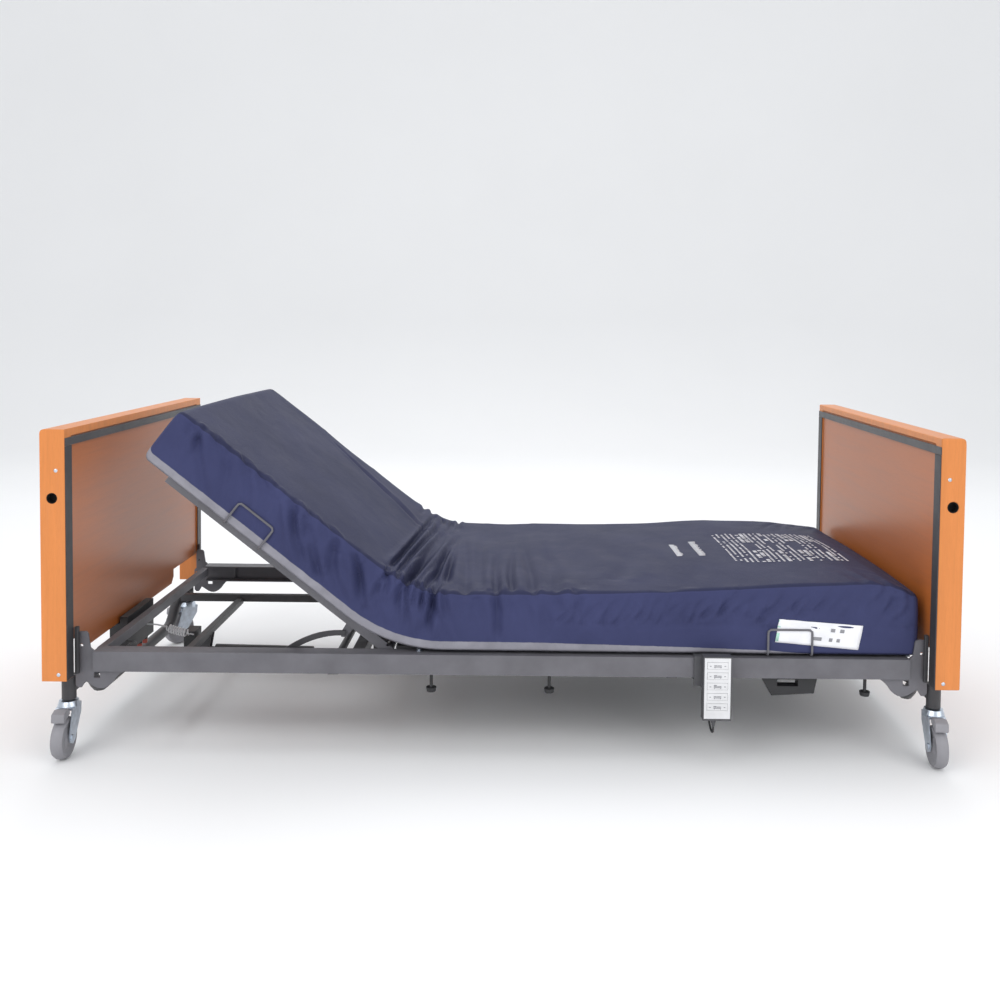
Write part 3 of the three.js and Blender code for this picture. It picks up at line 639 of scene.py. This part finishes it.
def end_rings(x, outward):
    """Rings that round an end over: a quarter circle inwards, then in to the middle."""
    radius = 20.0
    rings = []
    for angle in np.linspace(15, 90, 6):
        a = math.radians(angle)
        inset, reach = radius * (1 - math.cos(a)), outward * radius * math.sin(a)
        rings.append(mattress_ring(x, inset, reach))
    last = rings[-1]
    centre = last.mean(0)
    direction = rings[-1].mean(0) - rings[0].mean(0)
    direction = direction / np.linalg.norm(direction)
    for scale in (0.9, 0.75, 0.5, 0.25, 0.04):
        puff = direction * 0.004 * (1 - scale ** 2)
        rings.append(centre + (last - centre) * scale + puff)
    return rings


def band_height(x):
    return np.interp(x, [-1050, -200, 100, 450, 640, 760], [21, 22, 21, 14, 8, 0])


def ring_map(x):
    """The map of one ring: u along the deck, v the height over the band, or 1 on top."""
    p = section_steps()
    near = float(np.interp(x, *np.array(NEAR_HEIGHT, float).T))
    reach = 160 - ARC
    below = np.clip(np.maximum(-p, p - FAR_P) - ARC, 0, reach)
    height = (near - EDGE) * (1 - below / reach) - float(band_height(x))
    on_top = (p > -ARC * 0.2) & (p < FAR_P + ARC * 0.2)
    v = np.where(on_top, 1.0, height * MM)
    v = np.concatenate([v, np.full(BASE_STEPS, UNDER_BASE)])
    return np.column_stack([np.full(len(v), x * MM), v])


def grid_normals(rings):
    """Outward normals of a grid of rings: the cross product of its two directions."""
    down = np.gradient(rings, axis=0)
    round_ = np.roll(rings, -1, 1) - np.roll(rings, 1, 1)
    normals = np.cross(round_, down)
    normals /= np.maximum(np.linalg.norm(normals, axis=2), 1e-12)[..., None]
    middle = rings.mean(1)[:, None]
    facing = np.sign(((rings - middle) * normals).sum(2).mean())
    return normals * facing


ROW_X = np.concatenate([np.linspace(HEAD_X + 20, SPLITS[0], 136),
                        np.linspace(SPLITS[0], SPLITS[1], 40)[1:],
                        np.linspace(SPLITS[1], FOOT_X - 20, 132)[1:]])
FIRST = end_rings(ROW_X[0], -1)[::-1]
LAST = end_rings(ROW_X[-1], 1)
RINGS = np.array(FIRST + [mattress_ring(x) for x in ROW_X] + LAST)
NORMALS = grid_normals(RINGS)
MAPS = np.array([ring_map(x) for x in [ROW_X[0]] * len(FIRST) + list(ROW_X)
                 + [ROW_X[-1]] * len(LAST)])
CUT_1 = len(FIRST) + 135
CUT_2 = CUT_1 + 39


def mattress_piece(name, first, last, nodes):
    """Rows first to last of the whole loft, closed with flat caps where it is cut."""
    rings, normals, maps = (a[first:last + 1] for a in (RINGS, NORMALS, MAPS))
    rows, columns = rings.shape[:2]
    quads = np.array(grid_faces(rows, columns))
    faces = quads.tolist()
    faces += [list(range(columns))[::-1], list(range((rows - 1) * columns, rows * columns))]
    piece = new_piece(name, rings.reshape(-1, 3), faces, None, NAVY, 0)
    face_outwards(piece)
    mesh = piece.data
    corner = np.zeros(len(mesh.loops), np.int32)
    mesh.loops.foreach_get("vertex_index", corner)
    side_corners = len(quads) * 4
    per_corner = normals.reshape(-1, 3)[corner]
    per_corner[side_corners:side_corners + columns] = np.array(mesh.polygons[len(quads)].normal)
    per_corner[side_corners + columns:] = np.array(mesh.polygons[len(quads) + 1].normal)
    layer = mesh.uv_layers.new(name="cover")
    layer.data.foreach_set("uv", maps.reshape(-1, 2)[corner].ravel())
    mesh.normals_split_custom_set(per_corner.tolist())
    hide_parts(*nodes)
    return piece


mattress_back = mattress_piece("mattress_head_part", 0, CUT_1,
                               ["mattress_back", "mattress_seat"])
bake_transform(mattress_back)
mattress_mid = mattress_piece("mattress_middle_part", CUT_1, CUT_2, ["mattress_thigh"])
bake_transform(mattress_mid)
mattress_foot = mattress_piece("mattress_foot_part", CUT_2, len(RINGS) - 1, ["mattress_leg"])
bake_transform(mattress_foot)


def patch(name, corners, material, body, lift=0.8, steps=(24, 10)):
    """A thin printed patch that lies on the skin between four (x, p) corners."""
    u, v = np.meshgrid(np.linspace(0, 1, steps[0]), np.linspace(0, 1, steps[1]), indexing="ij")
    a, b, c, d = np.array(corners, float)
    xp = ((1 - u)[..., None] * (1 - v)[..., None] * a + u[..., None] * (1 - v)[..., None] * b
          + (u * v)[..., None] * c + ((1 - u) * v)[..., None] * d)
    points = mattress_point(xp[..., 0], xp[..., 1], lift)
    faces = grid_faces(steps[0], steps[1], around=False)
    piece = new_piece(name, points.reshape(-1, 3), faces, None, material, 0)
    solid = piece.modifiers.new("film", "SOLIDIFY")
    solid.thickness = 0.0004
    solid.offset = 1
    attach(piece, body)
    return piece


def near_p(z, x):
    """p on the near side for a height z above the floor at x."""
    return -ARC - (np.interp(x, *np.array(NEAR_HEIGHT, float).T) - EDGE - (z - BASE_Z))


def side_label():
    """The maintenance label: a white film with a pale green end and blank grey bars."""
    corners = [(674, near_p(349, 674)), (879, near_p(334, 879)),
               (868, near_p(274, 868)), (665, near_p(292, 665))]
    patch("side_label", corners, LABEL, "leg")
    a, b, c, d = np.array(corners)

    def inner(name, u0, u1, v0, v1, material):
        def at(u, v):
            return tuple((1 - u) * (1 - v) * a + u * (1 - v) * b + u * v * c + (1 - u) * v * d)
        corners = [at(u0, v0), at(u1, v0), at(u1, v1), at(u0, v1)]
        patch(name, corners, material, "leg", 1.4, (6, 4))

    inner("side_label_edge", 0.0, 0.035, 0.02, 0.95, GREEN)
    for i, (u, v, w) in enumerate([(0.42, 0.62, 0.12), (0.63, 0.22, 0.05), (0.74, 0.22, 0.05),
                                   (0.63, 0.62, 0.04), (0.72, 0.62, 0.04)]):
        inner(f"side_label_bar_{i + 1}", u, u + w, v, v + 0.14, MARK)


side_label()


def top_print():
    """Blank printed bars on the foot end of the cover, in ragged rows like a care panel."""
    quads = []

    def dash(x, y, dx, dy):
        quads.append((x, y, dx, dy))

    for y in np.arange(-122, 48, 17):
        dash(472, y, 20 * rng.uniform(0.75, 1.0), 14)
    for y in np.arange(-122, 78, 12):
        dash(533, y, 22 * rng.uniform(0.75, 1.0), 9)
    for k in range(22):
        x = 618 + k * 14
        wide = k in (5, 6, 10, 14, 15, 19)
        for start in np.arange(-205, 185, 15.0):
            if rng.uniform() < 0.22 or (wide and abs(start + 20) < 60):
                continue
            dash(x, start, 10 if wide else 5.5, rng.uniform(8, 14))
    x, y, dx, dy = np.array(quads).T
    u = np.array([0, 1, 1, 0])
    v = np.array([0, 0, 1, 1])
    xs = x[:, None] + u * dx[:, None]
    ps = y[:, None] + v * dy[:, None] + HALF - EDGE + ARC
    points = mattress_point(xs, ps, 0.9)
    faces = np.arange(points.shape[0] * 4).reshape(-1, 4).tolist()
    piece = new_piece("top_print", points.reshape(-1, 3), faces, None, PRINT, 0)
    solid = piece.modifiers.new("film", "SOLIDIFY")
    solid.thickness = 0.0003
    solid.offset = 1
    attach(piece, "leg")


top_print()


# ---- CAD nodes with softened edges ---------------------------------------------------

def softened_copy(node, material, width):
    """The node's own shape, its loose triangles merged, with rounded edges."""
    b = bmesh.new()
    b.from_mesh(NODES[node].data)
    bmesh.ops.remove_doubles(b, verts=b.verts, dist=1e-6)
    bmesh.ops.dissolve_limit(b, angle_limit=math.radians(1.0), verts=b.verts, edges=b.edges)
    mesh = bpy.data.meshes.new(node + "_soft")
    b.to_mesh(mesh)
    b.free()
    piece = bpy.data.objects.new(node + "_soft", mesh)
    bpy.context.collection.objects.link(piece)
    mesh.materials.clear()
    mesh.materials.append(material)
    mesh.polygons.foreach_set("use_smooth", np.ones(len(mesh.polygons), bool))
    mesh.polygons.foreach_set("material_index", np.zeros(len(mesh.polygons), np.int32))
    mesh.set_sharp_from_angle(angle=math.radians(38))
    if width:
        soften(piece, width)
    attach(piece, BODY_OF[node])
    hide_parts(node)
    return piece


FINISHES = [
    ("end_frame", BEECH, 0.0035), ("end_board", BOARD_IN_PAINTED_SHADE, 0.0012), ("rail_", STEEL, 0.0008),
    ("end_tube", STEEL, 0.001), ("lift_tube", DARK, 0.001), ("backrest_section", STEEL, 0.0008),
    ("_section", DARK, 0.0008), ("lift_frame", DARK, 0.002), ("lift_link", DARK, 0.001),
    ("castor_frame", DARK, 0), ("castor_fork", ZINC, 0.0006), ("castor_wheel", TYRE, 0),
    ("castor_pedal", TYRE, 0.003), ("actuator_body", BLACK, 0.002),
    ("actuator_rod", ZINC, 0.0006), ("control_box", BLACK, 0.003),
    ("handset_key", WHITE, 0.0008),
    ("handset", CASING, 0.003), ("hand_screw", BLACK, 0.001), ("hanger", BLACK, 0.0015),
    ("backrest_stay", DARK, 0.001), ("retainer", STEEL, 0)]


def finish_nodes():
    soft = ("mattress", "handset_cord", "control_lead")
    for node in NODES:
        if node.startswith(soft):
            continue
        material, width = next((m, w) for key, m, w in FINISHES if key in node)
        softened_copy(node, material, width)


finish_nodes()


# ---- fittings on the bed ends ---------------------------------------------------------

def bed_end_fittings():
    for side, end in ((-1, "head"), (1, "foot")):
        x = lambda value: side * value * MM
        block(f"{end}_cap_strip", (x(1032), -0.4985, 0.760), (x(1037.5), 0.4985, 0.779), "deck",
              STRIP, 0.0008)
        for near, name in ((-1, "near"), (1, "far")):
            y = lambda value: near * value * MM
            block(f"{end}_{name}_runner",
                  (x(1032), y(464), 0.199), (x(1034.5), y(498.5), 0.7595),
                  "deck", DARK, 0.0006)
            block(f"{end}_{name}_hook_plate",
                  (x(1022), y(452), 0.202), (x(1031.5), y(463), 0.318),
                  "deck", DARK, 0.002)
            hole = [(0.0001, 0.0), (0.0128, 0.0), (0.0128, 0.0205), (0.0116, 0.0205),
                    (0.0114, 0.0015), (0.0001, 0.0015)]
            turned(f"{end}_{name}_socket", hole, (x(1065), y(478.5), 0.636), (0, near, 0),
                   "deck", HOLLOW)
            screw = [(0.0001, -0.001), (0.0046, -0.001), (0.0046, 0.0002), (0.0034, 0.0014),
                     (0.0016, 0.0019), (0.0001, 0.002)]
            for z, sx in ((0.702, 1055), (0.213, 1053)):
                turned(f"{end}_{name}_screw_{int(z * 1000)}", screw, (x(sx), y(500), z),
                       (0, near, 0), "deck", ZINC, 16)


bed_end_fittings()


# ---- small metal fittings --------------------------------------------------------------

BOLT = [(0.0001, -0.0005), (0.0082, -0.0005), (0.0082, 0.001), (0.0062, 0.0012),
        (0.0062, 0.0052), (0.0052, 0.0062), (0.0001, 0.0062)]


def small_fittings():
    for i, (x, y) in enumerate(((-203, -421), (995, -421), (-203, 421), (995, 421))):
        turned(f"rail_bolt_{i + 1}", BOLT, (x * MM, y * MM, 0.255), (0, 0, 1), "deck", ZINC, 6)
    for i, x in enumerate((-430, 430)):
        for j, y in enumerate((-1, 1)):
            body = "head_arm" if x < 0 else "foot_arm"
            turned(f"arm_pivot_bolt_{i * 2 + j + 1}", BOLT, (x * MM, y * 0.3385, 0.178),
                   (0, y, 0), body, ZINC, 12)
    for i, x in enumerate((-1030, 1030)):
        for j, y in enumerate((-1, 1)):
            body = "head_arm" if x < 0 else "foot_arm"
            turned(f"base_pivot_bolt_{i * 2 + j + 1}", BOLT, (x * MM, y * 0.3385, 0.178),
                   (0, y, 0), body, ZINC, 12)
    for i, y in enumerate((-150, -110, -70, -30)):
        ring = [(0.0001, 0), (0.0066, 0), (0.0072, 0.002), (0.0072, 0.012), (0.0001, 0.012)]
        turned(f"box_plug_{i + 1}", ring, (-1.024, y * MM, 0.142), (0, 0, 1), "deck", RED, 16)


small_fittings()


def wire_loop(name, x0, x1, side, body, turn=False):
    """A mattress retainer: out from the side bar, up, along, and back, with round corners."""
    low, high = 258.8, 323
    y0, y1 = side * 405.6, side * 444.5
    corners = np.array([[x0, y0, low], [x0, y1, low], [x0, y1, high], [x1, y1, high],
                        [x1, y1, low], [x1, y0, low]], float)
    bend = 9.0
    stretches = [corners[:1]]
    for before, here, after in zip(corners[:-2], corners[1:-1], corners[2:]):
        a = here + (before - here) / np.linalg.norm(before - here) * bend
        b = here + (after - here) / np.linalg.norm(after - here) * bend
        t = np.linspace(0, 1, 7)[:, None]
        stretches.append((1 - t) ** 2 * a + 2 * t * (1 - t) * here + t ** 2 * b)
    stretches.append(corners[-1:])
    points = np.vstack(stretches)
    if turn:
        hinge = np.array([-280.0, 0, 249.0])
        c, s = math.cos(BEND), math.sin(BEND)
        local = points - hinge
        points = hinge + np.column_stack([local[:, 0] * c + local[:, 2] * s, local[:, 1],
                                          -local[:, 0] * s + local[:, 2] * c])
    wire(name, points * MM, 0.0058, body, STEEL)


wire_loop("retainer_back_far", -790, -685, 1, "backrest", turn=True)
wire_loop("retainer_foot_far", 648, 755, 1, "leg")


# ---- hand control face -----------------------------------------------------------------

def slab(name, boxes, body, material, edge=0.0004):
    """Several small boxes in one piece, given as (x0, x1, y0, y1, z0, z1) in millimetres."""
    unit = np.array([[0, 0, 0], [1, 0, 0], [1, 1, 0], [0, 1, 0],
                     [0, 0, 1], [1, 0, 1], [1, 1, 1], [0, 1, 1]], float)
    quads = np.array([[0, 3, 2, 1], [4, 5, 6, 7], [0, 1, 5, 4], [1, 2, 6, 5], [2, 3, 7, 6],
                      [3, 0, 4, 7]])
    b = np.array(boxes, float)
    low, high = b[:, 0::2], b[:, 1::2]
    vertices = (low[:, None] + unit[None] * (high - low)[:, None]) * MM
    faces = (np.arange(len(b))[:, None, None] * 8 + quads[None]).reshape(-1, 4).tolist()
    piece = new_piece(name, vertices.reshape(-1, 3), faces, body, material, 30)
    if edge:
        soften(piece, edge, 1)
    return piece


KEY_ROWS = (247, 222, 197, 172, 147)
KEY_X = 518.5


def hand_control_face():
    front = -486.0
    inner = 24.9
    strips = [(KEY_X - 31.5, KEY_X - inner, front - 0.9, front - 0.05, 118, 265),
              (KEY_X + inner, KEY_X + 31.5, front - 0.9, front - 0.05, 118, 265)]
    edges = [265, *[z for row in KEY_ROWS for z in (row + 8.4, row - 8.4)], 118]
    for high, low in zip(edges[0::2], edges[1::2]):
        strips.append((KEY_X - inner, KEY_X + inner, front - 0.9, front - 0.05, low, high))
    slab("control_face", strips, "deck", WHITE, 0.0003)
    for i, z in enumerate(KEY_ROWS):
        y0, y1 = -488.5, -487.9
        raised = 2.5 + 1.2 * (i % 3)
        icon = [(KEY_X - 9, KEY_X + 9, y0, y1, z - 3.2, z - 1.6),
                (KEY_X - 9, KEY_X - 2, y0, y1, z - 0.2, z + raised - 1),
                (KEY_X - 1, KEY_X + 9, y0, y1, z - 0.2, z + 1.4),
                (KEY_X - 8, KEY_X - 6.4, y0, y1, z - 5.2, z - 3.2),
                (KEY_X + 6.4, KEY_X + 8, y0, y1, z - 5.2, z - 3.2),
                (KEY_X - 19.5, KEY_X - 15.5, y0, y1, z - 1.4, z + 0.2),
                (KEY_X + 15.5, KEY_X + 19.5, y0, y1, z - 1.4, z + 0.2)]
        slab(f"key_icon_{i + 1}", icon, f"key_{i + 1}", MARK, 0)


hand_control_face()


# ---- floor and light -------------------------------------------------------------------

def studio():
    """A pale floor that curves up behind the bed, and broad soft lamps."""
    y = np.concatenate([np.linspace(-7, 5, 13), 5 + 3 * np.sin(np.linspace(0.1, 1.57, 14)),
                        np.full(5, 8.0)])
    z = np.concatenate([np.zeros(13), 3 * (1 - np.cos(np.linspace(0.1, 1.57, 14))),
                        np.linspace(3.5, 9, 5)])
    x = np.linspace(-12, 12, 9)
    points = np.stack([np.repeat(x[None], len(y), 0), np.repeat(y[:, None], 9, 1),
                       np.repeat(z[:, None], 9, 1)], -1)
    paper = Shader("studio_paper", 0.9)
    paper.colour(paper.ramp(paper.noise(0.6, 3), [(0.3, (0.93, 0.93, 0.93)),
                                                  (0.7, (0.95, 0.95, 0.95))]))
    floor = new_piece("studio_floor", points.reshape(-1, 3),
                      grid_faces(len(y), 9, around=False), None, paper.material, 0)

    world = bpy.data.worlds.new("studio_air")
    world.use_nodes = True
    world.node_tree.nodes["Background"].inputs["Color"].default_value = (0.95, 0.97, 1.0, 1)
    world.node_tree.nodes["Background"].inputs["Strength"].default_value = 0.8
    bpy.context.scene.world = world

    lamps = [("key", (-2.6, -3.6, 3.0), 3.0, 62), ("fill", (2.8, -3.4, 2.4), 3.0, 44),
             ("top", (0.0, 0.4, 4.2), 4.0, 30), ("back", (0.0, 3.4, 4.4), 5.0, 70)]
    for name, place, size, power in lamps:
        data = bpy.data.lights.new(name, "AREA")
        data.shape = "SQUARE"
        data.size = size
        data.energy = power
        lamp = bpy.data.objects.new(name, data)
        lamp.location = place
        aim = Vector((0, 0, 0.35)) - Vector(place)
        lamp.rotation_euler = aim.to_track_quat("-Z", "Y").to_euler()
        bpy.context.collection.objects.link(lamp)
    bpy.context.scene.view_settings.view_transform = "Standard"


studio()
